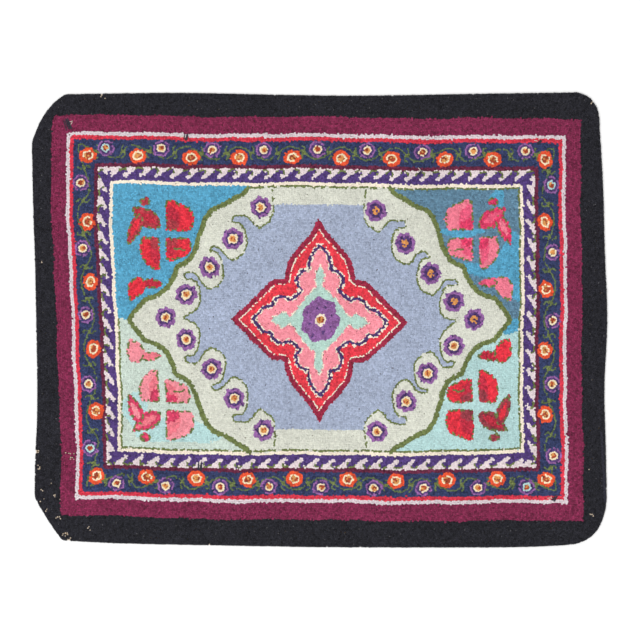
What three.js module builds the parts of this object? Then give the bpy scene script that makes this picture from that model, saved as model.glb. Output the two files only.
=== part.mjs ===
// A flat hand-hooked rug: a burlap foundation with a short pile of wool loops, as one slab.
// Millimetres, +Z up. X runs along the rug's length and Y across it.
// The origin is on the floor, under the middle of the rug's bounding box.
import * as THREE from 'three';

// Driving dimensions
const LENGTH = 1219;
const WIDTH = 964;
const FOUNDATION_THICKNESS = 1.2;
const LOOP_HEIGHT = 5.8;
const RIM_ROUNDING = 2.4;

// Smoothness of the outline and of the rounded rim
const POINTS_PER_CURVE = 7;
const RIM_STEPS = 3;

// How far each edge has drawn in from the bounding box, at places along it.
// `along` runs from -1 at the left or bottom end of the box to +1 at its other end.
const LEFT_EDGE = [
  { along: 0.78, inset: 0 },
  { along: 0.48, inset: 3 },
  { along: 0.22, inset: 7 },
  { along: -0.22, inset: 11 },
  { along: -0.42, inset: 11 },
  { along: -0.62, inset: 7 },
  { along: -0.78, inset: 6 },
];
const BOTTOM_EDGE = [
  { along: -0.894, inset: 15 },
  { along: -0.7, inset: 9 },
  { along: -0.4, inset: 5 },
  { along: 0, inset: 1 },
  { along: 0.4, inset: 0 },
  { along: 0.7, inset: 1 },
  { along: 0.857, inset: 5 },
];
const RIGHT_EDGE = [
  { along: -0.783, inset: 1 },
  { along: -0.56, inset: 3 },
  { along: -0.3, inset: 6 },
  { along: 0, inset: 0 },
  { along: 0.3, inset: 5 },
  { along: 0.6, inset: 9 },
  { along: 0.84, inset: 16 },
];
const TOP_EDGE = [
  { along: 0.9, inset: 0 },
  { along: 0.55, inset: 3 },
  { along: 0.15, inset: 7 },
  { along: -0.15, inset: 5 },
  { along: -0.5, inset: 1 },
  { along: -0.885, inset: 4 },
];

// How square each corner is: 0 is a straight cut, 1 pulls the curve out to the box's own corner.
const CORNER_FULLNESS = { bottomLeft: 0.08, bottomRight: 0.86, topRight: 0.7, topLeft: 0.4 };

const halfLength = LENGTH / 2;
const halfWidth = WIDTH / 2;

const leftPoint = ({ along, inset }) => new THREE.Vector2(inset - halfLength, along * halfWidth);
const rightPoint = ({ along, inset }) => new THREE.Vector2(halfLength - inset, along * halfWidth);
const bottomPoint = ({ along, inset }) => new THREE.Vector2(along * halfLength, inset - halfWidth);
const topPoint = ({ along, inset }) => new THREE.Vector2(along * halfLength, halfWidth - inset);

// The hand-cut outline, counter-clockwise from the top of the left edge
function rugOutline() {
  const edges = [
    LEFT_EDGE.map(leftPoint),
    BOTTOM_EDGE.map(bottomPoint),
    RIGHT_EDGE.map(rightPoint),
    TOP_EDGE.map(topPoint),
  ];
  const corners = [
    { x: -halfLength, y: -halfWidth, fullness: CORNER_FULLNESS.bottomLeft },
    { x: halfLength, y: -halfWidth, fullness: CORNER_FULLNESS.bottomRight },
    { x: halfLength, y: halfWidth, fullness: CORNER_FULLNESS.topRight },
    { x: -halfLength, y: halfWidth, fullness: CORNER_FULLNESS.topLeft },
  ];
  const outline = new THREE.Shape();
  outline.moveTo(edges[0][0].x, edges[0][0].y);
  edges.forEach((edge, side) => {
    outline.splineThru(edge.slice(1));
    roundCorner(outline, edge.at(-1), edges[(side + 1) % edges.length][0], corners[side]);
  });
  return outline;
}

// One corner curve, from the end of an edge to the start of the next one
function roundCorner(outline, from, to, corner) {
  const middle = from.clone().add(to).multiplyScalar(0.5);
  const pull = middle.lerp(new THREE.Vector2(corner.x, corner.y), corner.fullness);
  outline.quadraticCurveTo(pull.x, pull.y, to.x, to.y);
}

// The slab of foundation and pile, its rim rounded as the outer loops lean out
function rugGeometry() {
  const thickness = FOUNDATION_THICKNESS + LOOP_HEIGHT;
  const geometry = new THREE.ExtrudeGeometry(rugOutline(), {
    depth: thickness - 2 * RIM_ROUNDING,
    curveSegments: POINTS_PER_CURVE,
    bevelThickness: RIM_ROUNDING,
    bevelSize: RIM_ROUNDING,
    bevelOffset: -RIM_ROUNDING,
    bevelSegments: RIM_STEPS,
  });
  geometry.translate(0, 0, RIM_ROUNDING);
  return geometry;
}

const wool = new THREE.MeshStandardMaterial({ color: 0x5f4a63, roughness: 0.95, metalness: 0 });

const rug = new THREE.Mesh(rugGeometry(), wool);
rug.name = 'rug';

const hookedRug = new THREE.Group();
hookedRug.add(rug);

export default hookedRug;
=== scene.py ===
import math

import bpy
import numpy as np
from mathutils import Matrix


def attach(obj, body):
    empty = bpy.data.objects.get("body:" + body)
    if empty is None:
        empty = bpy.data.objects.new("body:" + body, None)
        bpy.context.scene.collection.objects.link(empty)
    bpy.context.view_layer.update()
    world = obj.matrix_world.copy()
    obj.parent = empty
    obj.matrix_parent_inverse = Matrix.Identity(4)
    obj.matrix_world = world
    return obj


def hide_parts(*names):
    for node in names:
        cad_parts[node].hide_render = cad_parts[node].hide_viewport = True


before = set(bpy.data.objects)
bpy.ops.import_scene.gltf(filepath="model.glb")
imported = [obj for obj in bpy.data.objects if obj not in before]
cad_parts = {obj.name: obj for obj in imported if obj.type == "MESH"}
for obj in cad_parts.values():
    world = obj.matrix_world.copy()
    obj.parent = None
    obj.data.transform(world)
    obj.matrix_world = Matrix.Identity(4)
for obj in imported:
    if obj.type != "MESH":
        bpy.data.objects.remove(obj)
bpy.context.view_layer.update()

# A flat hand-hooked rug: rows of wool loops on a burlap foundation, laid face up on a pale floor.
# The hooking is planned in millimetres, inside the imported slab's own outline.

MM = 0.001
RNG = np.random.default_rng(19)

# Sizes of the hooking, in millimetres
ROW = 3.8
PITCH = 3.9
CELL = 0.5
MARGIN = 4.0
FOUNDATION_INSET = 1.4
FOUNDATION_LOW = 0.3
FOUNDATION_HIGH = 1.3
LOOP_TOP = 6.4
LOOP_SHOULDER = 5.1
LOOP_FOOT = 0.8
HIGHEST = 6.95
# How much longer and wider a loop is than its place in the row, so that neighbours press together
LOOP_LENGTH = 1.62
LOOP_WIDTH = 1.56
# A hooked line that is finer than the ground's rows
FINE = {"row": 3.2, "width": 0.85}

# Yarn colours as sRGB values of 0 to 255
YARNS = {
    "black": (35, 35, 41),
    "lint": (72, 71, 75),
    "burgundy": (127, 41, 75),
    "grey_white": (217, 205, 210),
    "red_line": (210, 56, 76),
    "navy": (52, 61, 98),
    "maroon": (104, 40, 66),
    "pinkish_white": (226, 212, 214),
    "wave_violet": (84, 62, 122),
    "cream": (244, 232, 214),
    "flower_cream": (240, 224, 190),
    "olive": (110, 122, 72),
    "vine": (96, 112, 76),
    "orange": (228, 86, 52),
    "ochre": (216, 150, 86),
    "rust": (165, 72, 46),
    "lilac": (146, 98, 158),
    "violet": (88, 62, 116),
    "bright_blue": (89, 163, 196),
    "slate": (99, 135, 158),
    "pale_mint": (200, 213, 203),
    "aqua": (181, 213, 212),
    "celadon": (214, 215, 203),
    "periwinkle": (167, 177, 199),
    "crimson": (154, 42, 68),
    "band_red": (226, 62, 76),
    "indigo": (74, 54, 106),
    "rose": (252, 150, 163),
    "cross_mint": (182, 212, 201),
    "scarlet": (223, 52, 68),
    "raspberry": (192, 48, 68),
    "shell_pink": (245, 128, 149),
    "hot_pink": (238, 95, 129),
    "cerise": (222, 63, 105),
    "dusty_pink": (238, 146, 157),
    "coral": (236, 124, 138),
    "fuchsia": (210, 67, 102),
    "brick": (152, 61, 72),
    "dull_red": (176, 62, 72),
    "tan": (206, 188, 168),
}
YARN_NUMBER = {name: number for number, name in enumerate(YARNS)}

# The frame of the borders: its corners clockwise from the top left, outside and inside
OUTER_CORNERS = np.array([(-567, 435), (553, 426), (559, -426), (-550, -414)], float)
INNER_CORNERS = np.array([(-437, 288), (427, 279), (426, -277), (-422, -274)], float)
SIDES = range(4)
TOP, RIGHT, BOTTOM, LEFT = SIDES

# Where each border starts, measured inwards from the burgundy band's outer edge
WHITE_START = 33.5
RED_START = 41.0
NAVY_START = 48.6
MAROON_START = 95.5
WAVE_START = 102.0
CREAM_START = 129.8
FIELD_START = 136.5

# The flowers along the two wide chevrons of the field, from the top to the bottom
LEFT_FLOWERS = [
    (-123, 240), (-184, 174), (-234, 113), (-284, 54), (-326, 5),
    (-283, -41), (-228, -102), (-179, -166), (-120, -233),
]
RIGHT_FLOWERS = [
    (121, 231), (182, 164), (234, 99), (284, 41), (328, 0),
    (285, -54), (232, -111), (184, -171), (122, -237),
]


# Paths

def evenly(points, step, closed=False):
    """Places about one step apart along a path, and the direction of the path at each of them."""
    path = np.asarray(points, float)
    if closed:
        path = np.vstack([path, path[:1]])
    run = np.concatenate([[0.0], np.cumsum(np.hypot(*np.diff(path, axis=0).T))])
    count = max(1, round(run[-1] / step))
    at = (np.arange(count) + 0.5) * run[-1] / count

    def on_path(where):
        return np.column_stack([np.interp(where, run, path[:, 0]), np.interp(where, run, path[:, 1])])

    ahead = on_path(at + 0.4 * step) - on_path(at - 0.4 * step)
    return on_path(at), ahead / np.maximum(np.hypot(*ahead.T), 1e-9)[:, None]


def smooth(points, steps=8):
    """A curve through the points of an open path."""
    p = np.asarray(points, float)
    p = np.vstack([2 * p[0] - p[1], p, 2 * p[-1] - p[-2]])
    t = np.linspace(0, 1, steps, endpoint=False)[:, None]
    pieces = []
    for a, b, c, d in zip(p[:-3], p[1:-2], p[2:-1], p[3:]):
        bend = (2 * a - 5 * b + 4 * c - d) * t ** 2 + (3 * b - a - 3 * c + d) * t ** 3
        pieces.append(0.5 * (2 * b + (c - a) * t + bend))
    return np.vstack(pieces + [p[-2:-1]])


def cornered(*pieces):
    """Smooth pieces one after another, with a corner where each one meets the next."""
    return np.vstack([smooth(piece) for piece in pieces])


def sideways(points, distance, closed):
    """The path moved to its left, without the tangles that tight corners would make."""
    place, direction = evenly(points, 2.0, closed)
    if distance == 0:
        return place
    moved = place + distance * np.column_stack([-direction[:, 1], direction[:, 0]])
    gaps = np.hypot(*(moved[:, None] - place[None]).transpose(2, 0, 1)).min(axis=1)
    return moved[gaps > abs(distance) - 0.35]


def hand(points):
    """The small wander of a line drawn and hooked by hand."""
    x, y = points.T
    across = 1.4 * np.sin(y / 61 + 0.3) + 0.9 * np.sin(y / 23 + x / 90 + 1.1)
    across += 0.4 * np.sin((x + y) / 11.7)
    across += 0.6 * np.sin(y / 1.5 + 2 * np.sin(x / 17))
    up = 1.4 * np.sin(x / 67 + 1.7) + 0.9 * np.sin(x / 26 - y / 80 + 0.6)
    up += 0.4 * np.sin((x - y) / 10.1 + 2)
    up += 0.6 * np.sin(x / 1.6 + 2 * np.sin(y / 15))
    return points + np.column_stack([across, up])


def four_way(quarter):
    """A closed path from the quarter that runs from the top to the right-hand end."""
    q = np.asarray(quarter, float)
    turned = q[::-1]
    return np.vstack([q, turned[1:] * [1, -1], q[1:] * [-1, -1], turned[1:-1] * [-1, 1]])


def petal(centre, half, lobes=3, turn=0.0, waviness=0.1, along=(1.0, 0.0)):
    """A closed rounded shape with shallow lobes; `along` is the direction of its first half size."""
    angle = np.linspace(0, 2 * math.pi, 48, endpoint=False)
    swell = 1 + waviness * np.cos(lobes * angle + turn)
    swell += 0.4 * waviness * np.sin((lobes + 2) * angle + 2 * turn)
    first = np.asarray(along, float)
    second = np.array([-first[1], first[0]])
    reach = half[0] * swell * np.cos(angle)
    rise = half[1] * swell * np.sin(angle)
    return np.asarray(centre, float) + reach[:, None] * first + rise[:, None] * second


def leaf(base, tip, width):
    """A closed pointed oval from a base to a tip."""
    base, tip = np.asarray(base, float), np.asarray(tip, float)
    share = np.linspace(0, 1, 16)
    half = 0.5 * width * np.sin(math.pi * share ** 0.8)
    axis = tip - base
    normal = np.array([-axis[1], axis[0]]) / np.hypot(*axis)
    middle = base + share[:, None] * axis
    return np.vstack([middle + half[:, None] * normal, (middle - half[:, None] * normal)[::-1]])


# The plan of the hooking

class Plan:
    """The hooking plan: the yarn, the zone and the hooked line at every half millimetre."""

    def __init__(self, outline):
        self.corner = outline.min(axis=0) - MARGIN
        wide, high = np.ceil((np.ptp(outline, axis=0) + 2 * MARGIN) / CELL).astype(int)
        self.yarn = np.full((high, wide), -1, np.int16)
        self.zone = np.zeros((high, wide), np.int16)
        self.line = np.zeros((high, wide), np.int32)
        self.lines = []
        self.zones = []
        self.fill(outline, "black", "edge", straight=True)

    def zone_number(self, zone):
        if zone not in self.zones:
            self.zones.append(zone)
        return self.zones.index(zone)

    def squares(self, points):
        """Rows and columns of the squares that hold these points."""
        place = np.floor((points - self.corner) / CELL).astype(int)
        high, wide = self.yarn.shape
        return place[:, 1].clip(0, high - 1), place[:, 0].clip(0, wide - 1)

    def inside(self, points):
        """The squares inside a closed path, as a window of the plan and a mask on it."""
        high, wide = self.yarn.shape
        path = ((points - self.corner) / CELL - 0.5).clip(0, [wide - 2, high - 2])
        low = np.floor(path.min(axis=0)).astype(int)
        columns, rows = np.ceil(path.max(axis=0)).astype(int) - low + 1
        flips = np.zeros((rows, columns + 1), bool)
        for start, end in zip(path, np.roll(path, -1, axis=0)):
            (xa, ya), (xb, yb) = sorted((start, end), key=lambda point: point[1])
            row = np.arange(math.ceil(ya), math.ceil(yb))
            if len(row):
                across = xa + (row - ya) * (xb - xa) / (yb - ya)
                flips[row - low[1], np.ceil(across).astype(int) - low[0]] ^= True
        window = slice(low[1], low[1] + rows), slice(low[0], low[0] + columns)
        return window, np.logical_xor.accumulate(flips, axis=1)[:, :columns]

    def fill(self, points, yarn, zone, straight=False, only_on=None):
        """Ground of one yarn inside a closed path, or only on the part of it that has another yarn."""
        path = points if straight else hand(evenly(points, 2.0, closed=True)[0])
        window, mask = self.inside(path)
        if only_on:
            mask = mask & (self.yarn[window] == YARN_NUMBER[only_on]) & (self.line[window] == 0)
        self.yarn[window][mask] = YARN_NUMBER[yarn]
        self.zone[window][mask] = self.zone_number(zone)
        self.line[window][mask] = 0

    def hook(self, points, yarn, zone, rows=1, closed=False, second=None, share=0.0, straight=False,
             row=ROW, width=1.0):
        """A hooked line of one or more rows; `share` of its loops are of the second yarn."""
        path = evenly(points, 2.0, closed)[0]
        if not straight:
            path = hand(path)
        line = {"path": path, "rows": rows, "closed": closed, "share": share, "pinned": straight}
        line |= {"row": row, "width": width, "zone": self.zone_number(zone)}
        line |= {"yarn": YARN_NUMBER[yarn], "second": YARN_NUMBER[second or yarn]}
        self.lines.append(line)
        place = evenly(path, CELL, closed)[0]
        half = rows * row / 2
        reach = math.ceil(half / CELL)
        step = np.arange(-reach, reach + 1) * CELL
        disc = np.stack(np.meshgrid(step, step), axis=-1).reshape(-1, 2)
        disc = disc[np.hypot(*disc.T) <= half]
        squares = self.squares((place[:, None] + disc[None]).reshape(-1, 2))
        self.yarn[squares] = line["yarn"]
        self.zone[squares] = line["zone"]
        self.line[squares] = len(self.lines)


# The borders

def frame_point(depth, side, share):
    """A place on the frame line at that depth, a share of the way along a side, clockwise."""
    share = np.asarray(share, float)
    inward = np.asarray(depth, float)[..., None] / FIELD_START
    corners = OUTER_CORNERS + (INNER_CORNERS - OUTER_CORNERS) * inward[..., None]
    start = corners[..., side, :]
    end = corners[..., (side + 1) % 4, :]
    place = start + (end - start) * share[..., None]
    bow = np.zeros(place.shape)
    if side == LEFT:
        bow[..., 0] = 4.2 * np.sin(2 * math.pi * share)
    if side == BOTTOM:
        bow[..., 1] = -4.5 * np.sin(math.pi * share)
    return place + bow


def frame_path(depth):
    """The closed frame line at one depth."""
    share = np.linspace(0, 1, 48, endpoint=False)
    return np.vstack([frame_point(np.full(48, depth), side, share) for side in SIDES])


def side_axes(side):
    """The direction along a side of the frame and the direction inwards from it."""
    along = OUTER_CORNERS[(side + 1) % 4] - OUTER_CORNERS[side]
    along = along / np.hypot(*along)
    return along, np.array([along[1], -along[0]])


def draw_plain_bands(plan, outline):
    inner_rows = sideways(outline, 1.5 * ROW, closed=True)
    plan.hook(inner_rows, "black", "edge", rows=3, closed=True, straight=True)
    bands = [
        (0, "burgundy", "burgundy"),
        (WHITE_START, "grey_white", "stripes"),
        (RED_START, "red_line", "stripes"),
        (NAVY_START, "navy", "navy"),
        (MAROON_START, "maroon", "waves"),
        (WAVE_START, "pinkish_white", "waves"),
    ]
    for depth, yarn, zone in bands:
        plan.fill(frame_path(depth), yarn, zone)
    double = {"rows": 2, "closed": True}
    plan.hook(frame_path(ROW), "burgundy", "burgundy", **double)
    plan.hook(frame_path(WHITE_START + ROW), "grey_white", "stripes", row=3.5, width=0.9, **double)
    plan.hook(frame_path(RED_START + ROW), "red_line", "stripes", **double)
    plan.hook(frame_path(MAROON_START + 0.9 * ROW), "maroon", "waves", **double)


def draw_flower(plan, zone, centre, half, along, rings, turn, lobes=5, waviness=0.05):
    """A flower of hooked rings: each one's outer share of the radius, yarn, second yarn and its share."""
    for number, (outer, yarn, second, share) in enumerate(rings):
        inner = rings[number + 1][0] if number + 1 < len(rings) else 0.0
        wavy = waviness * outer
        plan.fill(petal(centre, np.multiply(half, outer), lobes, turn, wavy, along), yarn, zone)
        rows = max(1, round((outer - inner) * min(half) / ROW))
        for row in range(rows):
            radius = outer - (outer - inner) * (row + 0.5) / rows
            ring = petal(centre, np.multiply(half, radius), lobes, turn, wavy, along)
            plan.hook(ring, yarn, zone, closed=True, second=second, share=share, row=3.2, width=0.9)


def border_flower(number):
    """The rings of a border flower: orange ones and purple ones by turns, their hearts varied."""
    heart = ("rust", "ochre") if number % 4 < 2 else ("ochre", "rust")
    eye = "aqua" if number % 17 == 1 else "flower_cream"
    if number % 2 == 0:
        return [(1.0, "orange", "orange", 0), (0.63, eye, eye, 0), (0.44, *heart, 0.35)]
    petals = [(1.0, "lilac", "navy", 0.08), (0.76, "violet", "indigo", 0.5)]
    return petals + [(0.54, eye, eye, 0), (0.34, *heart, 0.3)]


BORDER_COUNTS = {TOP: 18, RIGHT: 10, BOTTOM: 18, LEFT: 10}


def draw_flower_border(plan):
    middle = (NAVY_START + MAROON_START) / 2
    vine = []
    for side, count in BORDER_COUNTS.items():
        share = np.linspace(0, 1, 12 * count, endpoint=False)
        vine.append(frame_point(middle - 12.5 * np.cos(math.pi * share * count), side, share))
    plan.hook(np.vstack(vine), "vine", "navy", closed=True, second="navy", share=0.04, row=3.0, width=0.8)
    for side, count in BORDER_COUNTS.items():
        along, inward = side_axes(side)
        for number in range(count):
            draw_sprig(plan, frame_point(middle, side, (number + 0.5) / count), along, inward, number)
            wander = 0.06 * math.sin(5 * number + side) if number else 0
            share = (number + wander) / count
            turn = 1.7 * number + side
            inset, half = (8.8, (18.5, 15.8)) if number % 2 == 0 else (-6.8, (18.0, 17.0))
            centre = frame_point(middle + inset, side, share)
            draw_flower(plan, "navy", centre, half, along, border_flower(number), turn)


def draw_sprig(plan, start, along, inward, number):
    """Two curled tendrils and a small leaf where the vine crosses the middle of the border."""
    lean = 1 if number % 2 else -1
    for way in (1, -1):
        curl = [(0, 0), (3.5 * lean, 6), (2 * lean, 11.5), (-3 * lean, 13)]
        path = [start + way * a * along + way * b * inward for a, b in curl]
        plan.hook(smooth(path), "vine", "navy", **FINE)
    plan.fill(petal(start, (5.5, 4.5), 2, number, 0.15, along), "olive", "navy")


# One running wave: along the side and from the inner to the outer edge of its border, both 0 to 1
WAVE_BODY = [
    (0, -0.05), (0, 0.22), (0.26, 0.38), (0.48, 0.56), (0.68, 0.73), (0.88, 0.82), (1.06, 0.76),
    (1.06, 0.62), (0.95, 0.53), (0.86, 0.41), (0.87, 0.3), (0.97, 0.22), (1.05, 0.22), (1.05, -0.05),
]
WAVE_SLOPE = [(0.04, 0.18), (0.25, 0.33), (0.47, 0.51), (0.66, 0.68)]
WAVE_CREST = [(0.62, 0.74), (0.8, 0.87), (0.99, 0.88), (1.12, 0.74), (1.07, 0.56)]
WAVE_COUNTS = {TOP: 27, RIGHT: 15, BOTTOM: 26, LEFT: 16}
# How far a side's last wave runs on into the corner
INTO_CORNER = 18.0


def draw_wave_border(plan):
    for side, count in WAVE_COUNTS.items():
        along, inward = side_axes(side)
        depth = (frame_point(CREAM_START, side, 0.5) - frame_point(WAVE_START, side, 0.5)) @ inward
        length = (frame_point(CREAM_START, side, 1.0) - frame_point(CREAM_START, side, 0.0)) @ along
        reach = 1 + INTO_CORNER / length
        for number in range(count):
            def place(points):
                u, v = np.asarray(points, float).T
                base = frame_point(np.full(len(u), CREAM_START), side, (number + u) / count * reach)
                return base - v[:, None] * depth * inward
            plan.fill(place(WAVE_BODY), "wave_violet", "waves")
            plan.hook(smooth(place(WAVE_SLOPE)), "wave_violet", "waves", row=3.2, width=0.95)
            crest = smooth(place(WAVE_CREST))
            plan.hook(crest, "olive", "waves", second="wave_violet", share=0.15, **FINE)
    plan.fill(frame_path(CREAM_START), "cream", "waves")
    plan.hook(frame_path(CREAM_START + 3.3), "cream", "waves", rows=2, closed=True, **FINE)


# The field

OGEE = [
    [(150, 281), (158, 271), (176, 261), (200, 246), (228, 234)],
    [(228, 234), (243, 212), (255, 180), (265, 148), (280, 126), (304, 114)],
    [(304, 114), (313, 88), (327, 66), (347, 52), (372, 43)],
    [(372, 43), (389, 22), (403, 3)],
]
# Beside the flowers: the field's three fingers as reach and lift, and the edge round each flower
FINGERS = [(63, 0), (48, 0), (56, 6)]
FIRST_LOBE = [(-26, -14), (-19, -28), (-6, -38)]
LOBE = [(-2, 33), (-13, 33), (-21, 26), (-26, 15), (-29, -4), (-28, -20), (-20, -33), (-8, -42)]
STRIP_EDGE = {1: 244, -1: -233}
# The flowers without a cream ring, counted through both chevrons
RINGLESS = range(9, 14)
CORNERS = [(-1, 1), (1, 1), (1, -1), (-1, -1)]


def ogee_quarter(across, up):
    return cornered(*OGEE) * [across, up]


def finger(reach, lift):
    """The outer edge of a finger of the field, from between two lobes to its rounded end."""
    end = [(30, -20), (39, -18), (reach - 5, -19), (reach, -27)]
    return [(4, -45), (15, -35), (22, -26)] + [(x, y + lift) for x, y in end]


def scallop_quarter(across, up):
    """The scalloped inner edge of one chevron, from the strip at its end to the flower at its point."""
    centres = LEFT_FLOWERS if across < 0 else RIGHT_FLOWERS
    centres = np.array(centres if up > 0 else centres[::-1], float)[:5]
    mirror = np.array([across, up])
    path = [centres[0] + mirror * FIRST_LOBE]
    for (reach, lift), here, ahead in zip(FINGERS, centres, centres[1:]):
        path.append(here + mirror * finger(reach, lift))
        path.append(ahead + mirror * LOBE)
    path[-1] = path[-1][:-1]
    path.append(centres[4:] - mirror * [36, 0])
    return smooth(np.vstack(path))


def draw_field(plan):
    plan.fill(frame_path(FIELD_START), "celadon", "chevrons")
    draw_corner_grounds(plan)
    ring = [ogee_quarter(across, up)[::across * up] for across, up in CORNERS]
    plan.fill(np.vstack(ring), "celadon", "chevrons")
    scallops = {corner: scallop_quarter(*corner) for corner in CORNERS}
    inner = []
    for across, up in CORNERS:
        quarter = np.vstack([[[95 * across, STRIP_EDGE[up]]], scallops[across, up]])
        inner.append(quarter[::across * up])
    plan.fill(np.vstack(inner), "periwinkle", "field")
    edging = {"yarn": "olive", "zone": "chevrons", "second": "celadon"}
    for across, up in CORNERS:
        plan.hook(scallops[across, up], share=0.05, row=3.0, width=0.85, **edging)
        seam = [(99 * across, 278 * up), (95 * across, 226 * up)]
        plan.hook(seam, share=0.35, row=3.0, width=0.7, **edging)
    share = np.linspace(0.33, 0.67, 20)
    for side in (TOP, BOTTOM):
        strip = frame_point(np.full(20, FIELD_START + 0.5 * ROW), side, share)
        plan.hook(strip, share=0.15, **edging)
    for way in (-1, 1):
        ogee = np.vstack([ogee_quarter(way, 1), ogee_quarter(way, -1)[::-1]])
        plan.hook(ogee, "olive", "chevrons", rows=3, row=3.2)
    for number, centre in enumerate(LEFT_FLOWERS + RIGHT_FLOWERS):
        rings = [(1.0, "lilac", "violet", 0.08), (0.7, "violet", "indigo", 0.4)]
        if number in RINGLESS:
            rings += [(0.4, "ochre", "indigo", 0.12)]
        else:
            rings += [(0.5, "flower_cream", "flower_cream", 0), (0.3, "ochre", "rust", 0.1)]
        draw_flower(plan, "chevrons", centre, (21.5, 22), (1.0, 0.0), rings, 2.3 * number, 7, 0.09)


CORNER_GROUNDS = {
    (1, 1): ("corner_top_right", "slate"),
    (1, -1): ("corner_bottom_right", "aqua"),
    (-1, -1): ("corner_bottom_left", "pale_mint"),
    (-1, 1): ("corner_top_left", "bright_blue"),
}
# The corner without an olive line beside the cream, drawn last
UNLINED_CORNER = (-1, 1)
CORNER_MOTIFS = {
    (-1, 1): ("scarlet", "raspberry", "dull_red"),
    (1, 1): ("shell_pink", "hot_pink", "cerise"),
    (1, -1): ("scarlet", "raspberry", "brick"),
    (-1, -1): ("dusty_pink", "coral", "fuchsia"),
}
# Where a second dye lot shows in a corner's ground: corner, yarn, centre and half size
DYE_LOTS = [
    ((1, 1), "bright_blue", (405, 110), (34, 70)),
    ((1, 1), "bright_blue", (350, 108), (60, 16)),
    ((1, 1), "bright_blue", (300, 186), (50, 9)),
    ((1, 1), "bright_blue", (380, 258), (16, 18)),
    ((1, -1), "bright_blue", (408, 8), (28, 22)),
    ((-1, -1), "aqua", (300, 236), (90, 26)),
    ((-1, -1), "aqua", (390, 190), (30, 40)),
]


def corner_ground(depth, across, up):
    """The part of the field in one corner, bounded by two sides of the frame."""
    level = TOP if up > 0 else BOTTOM
    upright = RIGHT if across > 0 else LEFT
    share = np.linspace(0, 1, 25)
    flat = frame_point(np.full(25, depth), level, share)
    steep = frame_point(np.full(25, depth), upright, share)
    flat = flat[flat[:, 0] * across > 140]
    steep = steep[(steep[:, 1] - 2) * up > 0]
    flat = flat[np.argsort(flat[:, 0] * across)]
    steep = steep[np.argsort(-steep[:, 1] * up)]
    start = (140 * across, flat[0, 1])
    return np.vstack([[start], flat, steep, [(steep[-1, 0], 2), (140 * across, 2)]])


def draw_corner_grounds(plan):
    for corner, (zone, yarn) in CORNER_GROUNDS.items():
        mirror = np.array(corner)
        if corner == UNLINED_CORNER:
            edge = frame_path(FIELD_START + 0.5 * ROW)
            plan.hook(edge, "olive", "chevrons", closed=True, second="celadon", share=0.08)
        plan.fill(corner_ground(FIELD_START, *corner), yarn, zone)
        for where, lot, centre, half in DYE_LOTS:
            if where == corner:
                plan.fill(petal(centre, half, 3, centre[0], 0.16) * mirror, lot, zone, only_on=yarn)
        draw_corner_motifs(plan, zone, mirror, *CORNER_MOTIFS[corner])


def draw_corner_motifs(plan, zone, mirror, light, mid, dark):
    """A blossom in four parts, a sprig and a bent leaf, drawn for the top right and mirrored."""
    def patch(path, yarn, edge=0.0):
        plan.fill(path * mirror, yarn, zone)
        if edge:
            plan.hook(path * mirror, "olive", zone, closed=True, second=yarn, share=1 - edge)

    parts = [((324, 192), (-53, 58)), ((324, 174), (-48, -44)), ((341, 174), (36, -62))]
    for corner, reach in parts:
        patch(quarter_petal(corner, reach), light, 0.55)
        patch(quarter_petal(corner, np.multiply(reach, (0.5, 0.86))), mid)
        patch(quarter_petal(corner, np.multiply(reach, (0.46, 0.4))), dark)
    patch(leaf((338, 198), (396, 236), 34), dark, 0.5)
    patch(leaf((346, 204), (390, 231), 16), mid)
    patch(leaf((378, 222), (405, 158), 24), dark, 0.5)
    patch(leaf((381, 214), (400, 174), 12), light)
    patch(petal((370, 250), (9, 8), 2, 0.5), dark, 0.6)
    patch(leaf((336, 77), (392, 79), 17), mid, 0.5)
    patch(leaf((380, 90), (402, 40), 34), light, 0.5)
    plan.hook(smooth(np.array([(284, 146), (296, 152), (308, 150)]) * mirror), "olive", zone)


def quarter_petal(corner, reach):
    """A quarter of a blossom: straight beside its neighbours, with three lobes on its outer edge."""
    angle = np.linspace(0, math.pi / 2, 24)
    swell = 0.93 + 0.11 * np.abs(np.sin(3 * angle)) + 0.16 * np.sin(2 * angle)
    rim = np.column_stack([swell * np.cos(angle), swell * np.sin(angle)])
    return np.asarray(corner, float) + np.vstack([[(0, 0)], rim]) * reach


# The medallion

STAR = [
    [(0, 218), (18, 186), (41, 159), (62, 132), (71, 108), (75, 86)],
    [(75, 86), (98, 84), (117, 69), (138, 49), (165, 22), (187, 0)],
]
INNER_STAR = [
    [(0, 160), (14, 142), (22, 122), (23, 106)],
    [(23, 106), (38, 102), (48, 88), (46, 72), (38, 64)],
    [(38, 64), (52, 50), (64, 42)],
    [(64, 42), (78, 48), (94, 42), (102, 27)],
    [(102, 27), (118, 25), (130, 12), (142, 0)],
]
CROSS = [
    [(0, 118), (10, 101), (10, 88), (6, 73)],
    [(6, 73), (20, 60), (35, 44), (50, 24), (63, 7)],
    [(63, 7), (73, 16), (84, 15), (105, 0)],
]


def tilted(path):
    """The medallion's slight tilt: its right-hand point is lower than its left-hand one."""
    x, y = np.asarray(path, float).T
    return np.column_stack([x, y - 0.021 * x - 1.5])


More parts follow.
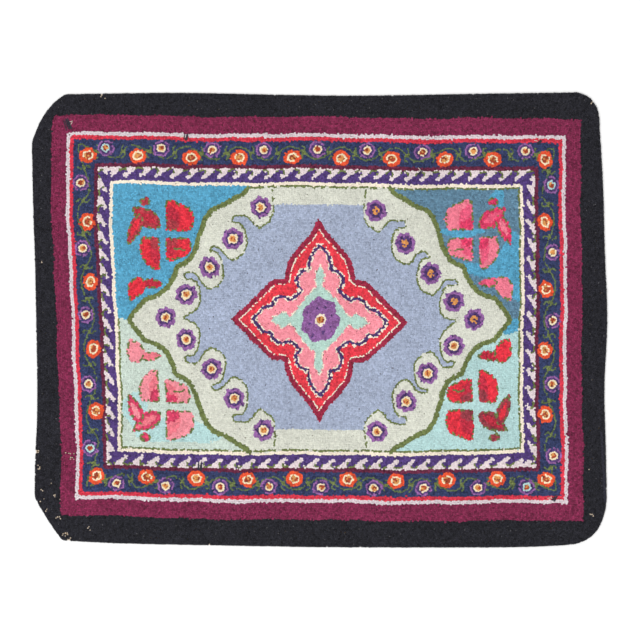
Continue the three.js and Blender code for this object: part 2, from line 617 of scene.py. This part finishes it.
def draw_medallion(plan):
    zone = "medallion"
    star = tilted(four_way(cornered(*STAR)))
    plan.fill(star, "crimson", zone)
    plan.hook(sideways(star, -1.35 * ROW, True), "crimson", zone, rows=3, closed=True, row=3.4)
    plan.fill(sideways(star, -2.7 * ROW, True), "band_red", zone)
    thin = {"zone": zone, "closed": True, "row": 2.6, "width": 0.6}
    plan.hook(sideways(star, -3.05 * ROW, True), "cream", second="band_red", share=0.16, **thin)
    inner = tilted(four_way(cornered(*INNER_STAR)))
    plan.hook(sideways(inner, 1.3 * ROW, True), "cream", second="band_red", share=0.25, **thin)
    plan.fill(sideways(inner, 0.9 * ROW, True), "indigo", zone)
    plan.fill(inner, "rose", zone)
    plan.hook(sideways(inner, -0.95 * ROW, True), "cream", second="rose", share=0.4, **thin)
    plan.hook(inner, "indigo", zone, closed=True)
    second_row = sideways(inner, 0.75 * ROW, True)
    plan.hook(second_row, "indigo", zone, closed=True, second="cream", share=0.3, row=3.0)
    cross = tilted(four_way(cornered(*CROSS)))
    plan.fill(cross, "cross_mint", zone)
    plan.hook(cross, "cream", second="rose", share=0.5, **thin)
    rings = [(1.0, "lilac", "lilac", 0), (0.29, "cream", "cream", 0), (0.17, "ochre", "rust", 0.45)]
    centre, half = np.array([1.0, -1.5]), np.array([40.0, 47.0])
    draw_flower(plan, zone, centre, half, (1.0, 0.0), rings, 0.5, 7, 0.06)
    for number in range(8):
        angle = (number + 0.4) * math.pi / 4
        spoke = half * [math.cos(angle), math.sin(angle)]
        ends = [centre + 0.5 * spoke, centre + 0.9 * spoke]
        plan.hook(ends, "violet", zone, second="lilac", share=0.55, row=2.6, width=0.6)


# The loops

# The columns of a table of loops; freedom is how far a loop may be pushed aside, from 0 to 1
X, Y, ANGLE, LENGTH, YARN, ZONE, FREEDOM, WIDTH = range(8)


def loop_table(place, direction, length, yarn, zone, freedom, width=1.0):
    """One row for each loop; the values after the direction are arrays or single numbers."""
    table = np.empty((len(place), WIDTH + 1))
    table[:, [X, Y]] = place
    table[:, ANGLE] = np.arctan2(direction[:, 1], direction[:, 0])
    for column, value in zip((LENGTH, YARN, ZONE, FREEDOM, WIDTH), (length, yarn, zone, freedom, width)):
        table[:, column] = value
    return table


def patchy(count, share):
    """Which of a row of loops change yarn, in short runs of two or three."""
    value = np.sin(1.1 * np.arange(count) + RNG.uniform(0, 6)) + RNG.normal(0, 0.7, count)
    return value > np.quantile(value, 1 - share) if share and count else np.zeros(count, bool)


def line_loops(plan):
    """Loops along every hooked line, where no later shape covers it."""
    tables = []
    for number, line in enumerate(plan.lines, start=1):
        for row in range(line["rows"]):
            shift = (row - (line["rows"] - 1) / 2) * line["row"]
            path = sideways(line["path"], shift, line["closed"])
            if len(path) < 2:
                continue
            place, direction = evenly(path, PITCH, line["closed"])
            own = plan.line[plan.squares(place)] == number
            place, direction = place[own], direction[own]
            yarn = np.where(patchy(len(place), line["share"]), line["second"], line["yarn"])
            freedom = 0.0 if line["pinned"] else 0.35
            aside = RNG.normal(0, 0.2 if line["pinned"] else 0.8, len(place))
            place = place + aside[:, None] * np.column_stack([-direction[:, 1], direction[:, 0]])
            tables.append(loop_table(place, direction, 1.0, yarn, line["zone"], freedom, line["width"]))
    return tables


def runs_sideways(x, y):
    """True in the left and right borders, where the rows run up and down."""
    return (np.abs(x) > 428) & (np.abs(x) - 428 > np.abs(y) - 280)


def ground_loops(plan, upright):
    """Rows of loops wherever no line runs; each run of one yarn is shared out evenly."""
    high, wide = plan.yarn.shape
    if upright:
        across, down = high, wide
    else:
        across, down = wide, high
    rows = int(down * CELL / ROW)
    s = np.arange(across) * CELL
    t = (np.arange(rows) + 0.5) * ROW

    def place(s, t):
        t = t + 1.4 * np.sin(s / 71 + t / 130) + 0.7 * np.sin(s / 24 - t / 60)
        flat = np.column_stack([t, s] if upright else [s, t])
        return plan.corner + flat

    s_all, t_all = np.meshgrid(s, t)
    points = place(s_all.ravel(), t_all.ravel())
    square = plan.squares(points)
    free = (plan.yarn[square] >= 0) & (plan.line[square] == 0)
    free &= runs_sideways(*points.T) == upright
    kind = np.where(free, plan.yarn[square] * 100 + plan.zone[square], -1)
    kind = np.column_stack([kind.reshape(rows, across), np.full(rows, -1)]).ravel()
    turns = np.concatenate([[0], np.flatnonzero(np.diff(kind)) + 1, [len(kind)]])
    start, end, label = turns[:-1], turns[1:], kind[turns[:-1]]
    keep = (label >= 0) & ((end - start) * CELL > 0.45 * PITCH)
    start, end, label = start[keep], end[keep], label[keep]
    count = np.maximum(1, np.round((end - start) * CELL / PITCH)).astype(int)
    run = np.repeat(np.arange(len(count)), count)
    order = np.arange(len(run)) - np.repeat(np.cumsum(count) - count, count)
    spacing = ((end - start) / count)[run]
    at = start[run] + (order + 0.5) * spacing
    row = start[run] // (across + 1)
    s_loop = (at - row * (across + 1)) * CELL
    spot = place(s_loop, t[row]) + RNG.normal(0, 0.75, (len(row), 2))
    direction = np.tile([0.0, 1.0] if upright else [1.0, 0.0], (len(spot), 1))
    length = (spacing * CELL / PITCH).clip(0.7, 1.25)
    return loop_table(spot, direction, length, label[run] // 100, label[run] % 100, 1.0)


def close_pairs(x, y, reach):
    """Every pair of loops nearer to each other than `reach`, with the distance."""
    wide = 100000
    key = np.floor(y / reach).astype(np.int64) * wide + np.floor(x / reach).astype(np.int64)
    order = np.argsort(key, kind="stable")
    key = key[order]
    first, second = [], []
    for shift in (0, 1, wide - 1, wide, wide + 1):
        low = np.searchsorted(key, key + shift, "left")
        high = np.searchsorted(key, key + shift, "right")
        if shift == 0:
            low = np.arange(len(key)) + 1
        count = np.maximum(high - low, 0)
        first.append(np.repeat(np.arange(len(key)), count))
        second.append(np.repeat(low - np.cumsum(count) + count, count) + np.arange(count.sum()))
    a, b = order[np.concatenate(first)], order[np.concatenate(second)]
    distance = np.hypot(x[a] - x[b], y[a] - y[b])
    near = distance < reach
    return a[near], b[near], distance[near]


def without_crowding(loops, least):
    """The loops without those that stand almost on another; hooked lines keep theirs."""
    a, b, _ = close_pairs(loops[:, X], loops[:, Y], least)
    a_goes = loops[a, FREEDOM] > loops[b, FREEDOM]
    drop = np.unique(np.where(a_goes, a, b))
    return np.delete(loops, drop, axis=0)


def gap_loops(plan, loops):
    """Extra loops where the foundation would show through."""
    coarse = 1.0
    high, wide = (np.array(plan.yarn.shape) * CELL / coarse).astype(int)
    rows, columns = np.mgrid[0:high, 0:wide]
    middle = plan.corner + (np.column_stack([columns.ravel(), rows.ravel()]) + 0.5) * coarse
    wanted = (plan.yarn[plan.squares(middle)] >= 0).reshape(high, wide)
    step = np.arange(-3, 4)
    disc = np.stack(np.meshgrid(step, step), axis=-1).reshape(-1, 2)
    disc = disc[np.hypot(*disc.T) <= 0.62 * PITCH]
    spot = np.floor((loops[:, :2] - plan.corner) / coarse).astype(int)
    for dx, dy in disc:
        wanted[(spot[:, 1] + dy).clip(0, high - 1), (spot[:, 0] + dx).clip(0, wide - 1)] = False
    row, column = np.nonzero(wanted)
    box = (row // 4) * wide + column // 4
    _, which, count = np.unique(box, return_inverse=True, return_counts=True)
    x = np.bincount(which, column) / count
    y = np.bincount(which, row) / count
    big = count >= 4
    place = plan.corner + (np.column_stack([x, y])[big] + 0.5) * coarse
    square = plan.squares(place)
    direction = np.tile([1.0, 0.0], (len(place), 1))
    extra = loop_table(place, direction, 0.9, plan.yarn[square], plan.zone[square], 1.0)
    return extra[extra[:, YARN] >= 0]


def settle(loops, rounds, spacing):
    """Moves loops apart a little, as a packed pile does; the rim stays where it is."""
    for _ in range(rounds):
        x, y = loops[:, X], loops[:, Y]
        a, b, distance = close_pairs(x, y, spacing)
        push = 0.45 * (spacing - distance) / np.maximum(distance, 0.2)
        dx = push * (x[a] - x[b]) / 2
        dy = push * (y[a] - y[b]) / 2
        count = len(loops)
        for column, shift in ((X, dx), (Y, dy)):
            move = np.bincount(a, shift, count) - np.bincount(b, shift, count)
            loops[:, column] += loops[:, FREEDOM] * move.clip(-0.6, 0.6)


def hooked_loops(plan, outline):
    """Every loop of the pile: the lines, the ground between them and what the gaps still need."""
    tables = line_loops(plan) + [ground_loops(plan, False), ground_loops(plan, True)]
    loops = without_crowding(np.vstack(tables), 0.58 * PITCH)
    rim = sideways(outline, ROW, closed=True)
    window, mask = plan.inside(rim)
    inner = np.zeros(plan.yarn.shape, bool)
    inner[window] = mask
    for _ in range(2):
        loops = np.vstack([loops, gap_loops(plan, loops)])
        loops = without_crowding(loops, 0.5 * PITCH)
        settle(loops, 5, 1.02 * PITCH)
        loops = loops[(loops[:, FREEDOM] == 0) | inner[plan.squares(loops[:, :2])]]
    return loops


# Wear: places where loops are worn pale or torn out, as centre, radius and share of loops changed
WORN_SPOTS = [
    ((-599, -280), 6, 0.3), ((-596, -312), 6, 0.3), ((-566, -342), 12, 0.16), ((-587, -359), 6, 0.3),
    ((-557, -376), 9, 0.25), ((-590, -382), 6, 0.3), ((-577, -403), 6, 0.4), ((-555, -422), 6, 0.4),
    ((-540, -454), 6, 0.4), ((-532, -464), 6, 0.4), ((-490, -443), 5, 0.4), ((-478, -468), 5, 0.4),
    ((-531, -290), 13, 0.1), ((-592, 125), 5, 0.3), ((575, 460), 5, 0.5), ((571, -320), 5, 0.3),
    ((576, -416), 5, 0.3), ((-232, -470), 8, 0.2), ((-460, 474), 7, 0.2),
]


def wear(loops):
    """Recolours and thins worn and linty loops; returns how much lower each loop stands."""
    lower = np.zeros(len(loops))
    for centre, radius, share in WORN_SPOTS:
        near = np.hypot(*(loops[:, :2] - centre).T) < radius
        near &= RNG.random(len(loops)) < share
        loops[near, YARN] = YARN_NUMBER["tan"]
        lower[near] = 0.6
    linty = (loops[:, YARN] == YARN_NUMBER["black"]) & (RNG.random(len(loops)) < 0.012)
    loops[linty, YARN] = YARN_NUMBER["lint"]
    thin = np.isin(loops[:, YARN], [YARN_NUMBER["tan"], YARN_NUMBER["lint"]])
    loops[thin, LENGTH] *= 0.6
    loops[thin, WIDTH] *= 0.6
    return lower


# Materials

# Between the seen colour of a yarn and its own: the pile's shading and the light together
WOOL_GAIN = 0.94


def linear(colour, gain=1.0):
    """A linear RGBA colour from sRGB values of 0 to 255."""
    values = []
    for value in colour:
        share = value / 255
        share = share / 12.92 if share <= 0.04045 else ((share + 0.055) / 1.055) ** 2.4
        values.append(min(share * gain, 0.95))
    return (*values, 1.0)


def new_material(name):
    material = bpy.data.materials.new(name)
    material.use_nodes = True
    tree = material.node_tree
    tree.nodes.clear()
    output = tree.nodes.new("ShaderNodeOutputMaterial")
    shader = tree.nodes.new("ShaderNodeBsdfPrincipled")
    tree.links.new(shader.outputs[0], output.inputs["Surface"])
    coordinates = tree.nodes.new("ShaderNodeTexCoord").outputs["Object"]
    return material, tree, shader, coordinates


def noise(tree, coordinates, scale, detail=2.0):
    texture = tree.nodes.new("ShaderNodeTexNoise")
    texture.inputs["Scale"].default_value = scale
    texture.inputs["Detail"].default_value = detail
    tree.links.new(coordinates, texture.inputs["Vector"])
    return texture.outputs["Fac"]


def spread(tree, value, low, high, to_low, to_high):
    """A value mapped from one range to another, kept inside it."""
    node = tree.nodes.new("ShaderNodeMapRange")
    for name, number in zip(("From Min", "From Max", "To Min", "To Max"), (low, high, to_low, to_high)):
        node.inputs[name].default_value = number
    tree.links.new(value, node.inputs["Value"])
    return node.outputs["Result"]


def blend(tree, mode, factor, first, second):
    """Two colours mixed; each input is a socket or a constant."""
    node = tree.nodes.new("ShaderNodeMix")
    node.data_type = "RGBA"
    node.blend_type = mode
    for socket, value in ((node.inputs[0], factor), (node.inputs[6], first), (node.inputs[7], second)):
        if isinstance(value, bpy.types.NodeSocket):
            tree.links.new(value, socket)
        else:
            socket.default_value = value
    return node.outputs[2]


def bump(tree, shader, height, strength, distance):
    node = tree.nodes.new("ShaderNodeBump")
    node.inputs["Strength"].default_value = strength
    node.inputs["Distance"].default_value = distance
    tree.links.new(height, node.inputs["Height"])
    tree.links.new(node.outputs["Normal"], shader.inputs["Normal"])


def wool_material(name, colour):
    """Heathered wool: each loop has its own tone, with flecks in the yarn and slow changes of dye."""
    material, tree, shader, coordinates = new_material("yarn_" + name)
    tone = tree.nodes.new("ShaderNodeAttribute")
    tone.attribute_name = "tone"
    ramp = tree.nodes.new("ShaderNodeValToRGB")
    lightness = np.dot(colour, (0.3, 0.59, 0.11)) / 255
    uneven = 0.05 + 0.55 * (1 - lightness)
    ramp.color_ramp.elements[0].color = linear(colour, (1 - uneven) * WOOL_GAIN)
    ramp.color_ramp.elements[1].color = linear(colour, (1 + uneven) * WOOL_GAIN)
    tree.links.new(tone.outputs["Fac"], ramp.inputs["Fac"])
    flecks = spread(tree, noise(tree, coordinates, 900.0), 0.5, 0.75, 0.0, 0.3)
    pale = linear([0.55 * value + 0.45 * 200 for value in colour], WOOL_GAIN)
    flecked = blend(tree, "MIX", flecks, ramp.outputs["Color"], pale)
    dye = spread(tree, noise(tree, coordinates, 11.0, 4.0), 0.35, 0.65, 0.94, 1.05)
    dyed = blend(tree, "MULTIPLY", 1.0, flecked, dye)
    tree.links.new(dyed, shader.inputs["Base Color"])
    bump(tree, shader, noise(tree, coordinates, 1500.0, 3.0), 0.35, 0.0006)
    shader.inputs["Roughness"].default_value = 0.95
    shader.inputs["Specular IOR Level"].default_value = 0.05
    shader.inputs["Sheen Weight"].default_value = 0.02
    shader.inputs["Sheen Roughness"].default_value = 0.5
    return material


def burlap_material():
    """Plain-woven jute: two crossing sets of threads, uneven in colour, with painted shade darkening the
    low places between the threads.
    """
    material, tree, shader, coordinates = new_material("burlap")
    threads = []
    for direction in ("X", "Y"):
        wave = tree.nodes.new("ShaderNodeTexWave")
        wave.bands_direction = direction
        wave.inputs["Scale"].default_value = 190.0
        wave.inputs["Distortion"].default_value = 1.2
        tree.links.new(coordinates, wave.inputs["Vector"])
        threads.append(wave.outputs["Fac"])
    weave = blend(tree, "MULTIPLY", 1.0, threads[0], threads[1])
    # Painted shade: dark jute is mixed in where the weave is low, the same places the bump sinks
    jute = blend(tree, "MIX", weave, linear((104, 80, 52)), linear((186, 156, 112)))
    slubs = spread(tree, noise(tree, coordinates, 60.0, 4.0), 0.35, 0.7, 0.75, 1.1)
    tree.links.new(blend(tree, "MULTIPLY", 1.0, jute, slubs), shader.inputs["Base Color"])
    bump(tree, shader, weave, 0.6, 0.0006)
    shader.inputs["Roughness"].default_value = 0.95
    shader.inputs["Specular IOR Level"].default_value = 0.15
    return material


def thread_material(name, colour):
    """Twisted mending yarn: slanted plies, painted darker in their grooves as painted shade and lighter on
    their crests as painted light, and a few pale fibres.
    """
    material, tree, shader, coordinates = new_material("thread_" + name)
    wave = tree.nodes.new("ShaderNodeTexWave")
    wave.bands_direction = "DIAGONAL"
    wave.inputs["Scale"].default_value = 320.0
    tree.links.new(coordinates, wave.inputs["Vector"])
    # Painted shade and painted light: the thread's colour is darkened in the grooves of the twist and
    # lightened on its crests, following the bump
    plies = blend(tree, "MIX", wave.outputs["Fac"], linear(colour, 0.7), linear(colour, 1.3))
    flecks = spread(tree, noise(tree, coordinates, 700.0), 0.52, 0.75, 0.0, 0.1)
    tree.links.new(blend(tree, "MIX", flecks, plies, linear((200, 196, 190))), shader.inputs["Base Color"])
    bump(tree, shader, wave.outputs["Fac"], 0.4, 0.0004)
    shader.inputs["Roughness"].default_value = 0.9
    return material


# Meshes

# One loop, in half lengths and half widths: six shoulder points, its crown and its foot
LOOP_PLAN = np.array([(1, 0), (0.5, 0.9), (-0.5, 0.9), (-1, 0), (-0.5, -0.9), (0.5, -0.9), (0, 0), (0, 0)])
SHOULDERS, CROWN, FOOT = 6, 6, 7
LOOP_TOP_FACES = [(k, (k + 1) % SHOULDERS, CROWN) for k in range(SHOULDERS)]
LOOP_FACES = np.array(LOOP_TOP_FACES + [((k + 1) % SHOULDERS, k, FOOT) for k in range(SHOULDERS)])


def triangle_mesh(name, points, faces):
    """A smooth mesh of triangles from arrays of places in millimetres and corner numbers."""
    mesh = bpy.data.meshes.new(name)
    mesh.vertices.add(len(points))
    mesh.vertices.foreach_set("co", (points * MM).astype(np.float32).ravel())
    mesh.loops.add(faces.size)
    mesh.loops.foreach_set("vertex_index", faces.astype(np.int32).ravel())
    mesh.polygons.add(len(faces))
    mesh.polygons.foreach_set("loop_start", np.arange(0, faces.size, 3, dtype=np.int32))
    mesh.polygons.foreach_set("use_smooth", np.ones(len(faces), bool))
    mesh.update(calc_edges=True)
    return mesh


def add_piece(mesh):
    piece = bpy.data.objects.new(mesh.name, mesh)
    bpy.context.scene.collection.objects.link(piece)
    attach(piece, "root")
    return piece


def pile_piece(name, loops, lower, materials):
    """One zone of the pile as a joined mesh of loops."""
    count = len(loops)
    angle = loops[:, ANGLE] + RNG.normal(0, 1, count) * (0.45 + 0.75 * loops[:, FREEDOM])
    half_long = 0.5 * PITCH * LOOP_LENGTH * loops[:, LENGTH] * RNG.normal(1, 0.06, count).clip(0.85, 1.15)
    half_wide = 0.5 * ROW * LOOP_WIDTH * loops[:, WIDTH] * RNG.normal(1, 0.06, count).clip(0.85, 1.15)
    rise = RNG.normal(0, 0.28, count).clip(-0.7, 0.6) - lower
    along = LOOP_PLAN[None, :, 0] * half_long[:, None]
    across = LOOP_PLAN[None, :, 1] * half_wide[:, None]
    cos, sin = np.cos(angle)[:, None], np.sin(angle)[:, None]
    points = np.empty((count, len(LOOP_PLAN), 3))
    points[..., 0] = loops[:, X, None] + along * cos - across * sin
    points[..., 1] = loops[:, Y, None] + along * sin + across * cos
    points[:, CROWN, :2] += RNG.normal(0, 0.35, (count, 2))
    points[:, :SHOULDERS, 2] = (LOOP_SHOULDER + rise)[:, None] + RNG.normal(0, 0.2, (count, SHOULDERS))
    points[:, CROWN, 2] = LOOP_TOP + rise
    points[:, FOOT, 2] = LOOP_FOOT
    points[..., 2] = points[..., 2].clip(0.2, HIGHEST)
    faces = LOOP_FACES[None] + len(LOOP_PLAN) * np.arange(count)[:, None, None]
    mesh = triangle_mesh(name, points.reshape(-1, 3), faces.reshape(-1, 3))
    numbers = np.unique(loops[:, YARN]).astype(int)
    for number in numbers:
        mesh.materials.append(materials[number])
    slots = np.searchsorted(numbers, loops[:, YARN].astype(int)).astype(np.int32)
    mesh.polygons.foreach_set("material_index", np.repeat(slots, len(LOOP_FACES)))
    tone = mesh.attributes.new("tone", "FLOAT", "POINT")
    shade = np.repeat(RNG.normal(0.5, 0.25, count).clip(0, 1), len(LOOP_PLAN))
    tone.data.foreach_set("value", shade.astype(np.float32))
    lay_out_loops(mesh, count)
    return add_piece(mesh)


def lay_out_loops(mesh, count):
    """A map with each loop in a square of its own."""
    side = math.ceil(math.sqrt(count))
    number = np.arange(count)
    corner = np.column_stack([number % side, number // side])
    local = 0.5 + 0.4 * LOOP_PLAN[LOOP_FACES.ravel()]
    places = (corner[:, None] + local[None]) / side
    layer = mesh.uv_layers.new(name="OFBake")
    layer.data.foreach_set("uv", places.astype(np.float32).ravel())


def foundation_piece(outline):
    """The burlap under the pile, as one thin closed sheet."""
    rim = sideways(outline, FOUNDATION_INSET, closed=True)[::3]
    count = len(rim)
    middle = rim.mean(axis=0)
    levels = []
    for height in (FOUNDATION_LOW, FOUNDATION_HIGH):
        levels.append(np.column_stack([rim, np.full(count, height)]))
        levels.append([[*middle, height]])
    points = np.vstack(levels)
    here = np.arange(count)
    ahead = (here + 1) % count
    top = count + 1
    faces = np.vstack([
        np.column_stack([ahead, here, np.full(count, count)]),
        np.column_stack([top + here, top + ahead, np.full(count, top + count)]),
        np.column_stack([here, ahead, top + ahead]),
        np.column_stack([here, top + ahead, top + here]),
    ])
    mesh = triangle_mesh("burlap_foundation", points, faces)
    mesh.polygons.foreach_set("use_smooth", np.zeros(len(faces), bool))
    mesh.materials.append(burlap_material())
    x, y = rim.T
    area = 0.5 * abs(np.sum(x * np.roll(y, -1) - np.roll(x, -1) * y)) * MM * MM
    return add_piece(mesh), area


def thread_tubes(name, strands, radius, material):
    """Stitches as round strands, joined into one mesh."""
    sides = 6
    turn = np.arange(sides) * 2 * math.pi / sides
    points, faces = [], []
    start = 0
    for strand in strands:
        path = smooth(strand, 4)
        ahead = np.gradient(path, axis=0)
        ahead /= np.linalg.norm(ahead, axis=1)[:, None]
        flat = np.cross(ahead, [0.0, 0.0, 1.0])
        flat /= np.maximum(np.linalg.norm(flat, axis=1), 1e-6)[:, None]
        third = np.cross(flat, ahead)
        ring = np.cos(turn)[None, :, None] * flat[:, None] + np.sin(turn)[None, :, None] * third[:, None]
        points.append((path[:, None] + radius * ring).reshape(-1, 3))
        rings = np.arange(len(path) - 1)[:, None] * sides
        here = np.arange(sides)[None]
        there = (here + 1) % sides
        a, b, c, d = rings + here, rings + there, rings + sides + there, rings + sides + here
        body = np.vstack([np.stack([a, c, b], -1).reshape(-1, 3), np.stack([a, d, c], -1).reshape(-1, 3)])
        last = (len(path) - 1) * sides
        cap = np.array([(0, k, k + 1) for k in range(1, sides - 1)])
        ends = np.vstack([cap, last + cap[:, ::-1]])
        faces.append(start + np.vstack([body, ends]))
        start += len(points[-1])
    mesh = triangle_mesh(name, np.vstack(points), np.vstack(faces))
    mesh.materials.append(material)
    return add_piece(mesh)


# Darned places: centre, direction of the stitches in degrees, number of stitches and their length
DARNS = [
    ((-534, 415), -68, 5, 30), ((-283, 388), 80, 4, 18), ((213, 313), 60, 3, 15),
    ((467, 377), 40, 3, 14), ((499, -378), 55, 4, 17), ((-253, -310), 85, 5, 22),
]


def darning_strands():
    strands = []
    for (x, y), degrees, count, length in DARNS:
        angle = math.radians(degrees)
        along = np.array([math.cos(angle), math.sin(angle)])
        aside = np.array([-along[1], along[0]])
        for number in range(count):
            middle = np.array([x, y]) + (number - (count - 1) / 2) * 2.3 * aside
            half = 0.5 * length * RNG.uniform(0.75, 1.0)
            lean = RNG.normal(0, 1.2)
            strands.append([
                (*(middle - half * along), 4.6),
                (*(middle - 0.5 * half * along + lean * 0.3 * aside), 6.3),
                (*(middle + 0.5 * half * along + lean * aside), 6.3),
                (*(middle + half * along + lean * aside), 4.6),
            ])
    return strands


def pale_strands():
    """Loose pale thread ends beside some of the darns."""
    strands = []
    for (x, y), degrees, *_ in DARNS:
        for number in range(2):
            angle = math.radians(degrees + 70 + 50 * number)
            along = np.array([math.cos(angle), math.sin(angle)])
            begin = np.array([x, y]) + RNG.normal(0, 3, 2)
            strands.append([
                (*begin, 5.0),
                (*(begin + 3.5 * along), 6.4),
                (*(begin + 8 * along + RNG.normal(0, 1, 2)), 6.0),
            ])
    return strands


def overcast_strands(outline):
    """Slanted stitches over the raw edge, on part of the right-hand side."""
    edge = outline[(outline[:, 0] > 0) & (outline[:, 1] > -388) & (outline[:, 1] < -236)]
    edge = edge[np.argsort(edge[:, 1])]
    strands = []
    for y in np.arange(-386, -238, 3.4):
        x = np.interp(y, edge[:, 1], edge[:, 0]) - np.interp(y, (-386, -238), (0.9, 5.5))
        x += RNG.normal(0, 0.5)
        strands.append([
            (x - 4.8, y + 2.6, 4.8), (x - 3.6, y + 2.0, 6.3), (x - 1.6, y + 0.8, 6.3),
            (x - 0.4, y, 5.0), (x, y - 0.5, 3.0),
        ])
    return strands


# The scene

def stage_floor():
    bpy.ops.mesh.primitive_plane_add(size=40.0, location=(0, 0, 0))
    floor = bpy.context.object
    floor.name = "floor"
    material, tree, shader, coordinates = new_material("pale_floor")
    tint = spread(tree, noise(tree, coordinates, 2.0), 0.3, 0.7, 0.97, 1.0)
    tree.links.new(blend(tree, "MULTIPLY", 1.0, (0.9, 0.9, 0.9, 1.0), tint), shader.inputs["Base Color"])
    shader.inputs["Roughness"].default_value = 0.9
    shader.inputs["Specular IOR Level"].default_value = 0.1
    floor.data.materials.append(material)


def area_light(name, place, size, power):
    light = bpy.data.lights.new(name, "AREA")
    light.size = size
    light.energy = power
    lamp = bpy.data.objects.new(name, light)
    lamp.location = place
    bpy.context.scene.collection.objects.link(lamp)
    return lamp


# The camera looks straight down, and its picture is this wide at the pile, in metres
PICTURE_WIDTH = 1.357
PICTURE_DISTANCE = 3.994
SENSOR_WIDTH = 36.0


def light_and_camera():
    world = bpy.data.worlds.new("studio")
    world.use_nodes = True
    background = world.node_tree.nodes["Background"]
    background.inputs["Color"].default_value = (1.0, 1.0, 1.0, 1.0)
    background.inputs["Strength"].default_value = 0.85
    scene = bpy.context.scene
    scene.world = world
    scene.view_settings.view_transform = "Standard"
    key = area_light("key", (-1.2, -1.0, 4.6), 2.6, 120.0)
    aim = key.location * -1
    key.rotation_euler = aim.to_track_quat("-Z", "Y").to_euler()
    camera_data = bpy.data.cameras.new("camera")
    camera_data.lens = SENSOR_WIDTH * PICTURE_DISTANCE / PICTURE_WIDTH
    camera_data.sensor_width = SENSOR_WIDTH
    camera = bpy.data.objects.new("camera", camera_data)
    camera.location = (0.001, 0.0, 4.0)
    scene.collection.objects.link(camera)
    scene.camera = camera


def packed_outline():
    """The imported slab's rim from above, in millimetres, counter-clockwise."""
    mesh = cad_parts["rug"].data
    points = np.empty(len(mesh.vertices) * 3)
    mesh.vertices.foreach_get("co", points)
    points = points.reshape(-1, 3) / MM
    widest = 0.35 * points[:, 2].max()
    level = points[np.abs(points[:, 2] - widest).argmin(), 2]
    rim = np.unique(np.round(points[np.abs(points[:, 2] - level) < 0.05][:, :2], 2), axis=0)
    return rim[np.argsort(np.arctan2(rim[:, 1], rim[:, 0]))]


def build():
    outline = packed_outline()
    plan = Plan(outline)
    draw_plain_bands(plan, outline)
    draw_flower_border(plan)
    draw_wave_border(plan)
    draw_field(plan)
    draw_medallion(plan)
    loops = hooked_loops(plan, outline)
    lower = wear(loops)
    materials = [wool_material(name, colour) for name, colour in YARNS.items()]
    for number, zone in enumerate(plan.zones):
        own = loops[:, ZONE] == number
        pile_piece("pile_" + zone, loops[own], lower[own], materials)
    navy_thread = thread_material("navy", (32, 32, 48))
    pale_thread = thread_material("pale", (214, 206, 192))
    thread_tubes("darning_stitches", darning_strands(), 1.0, navy_thread)
    thread_tubes("loose_thread_ends", pale_strands(), 0.6, pale_thread)
    thread_tubes("overcast_edge", overcast_strands(outline), 1.2, navy_thread)
    foundation, area = foundation_piece(outline)
    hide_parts("rug")


build()
stage_floor()
light_and_camera()
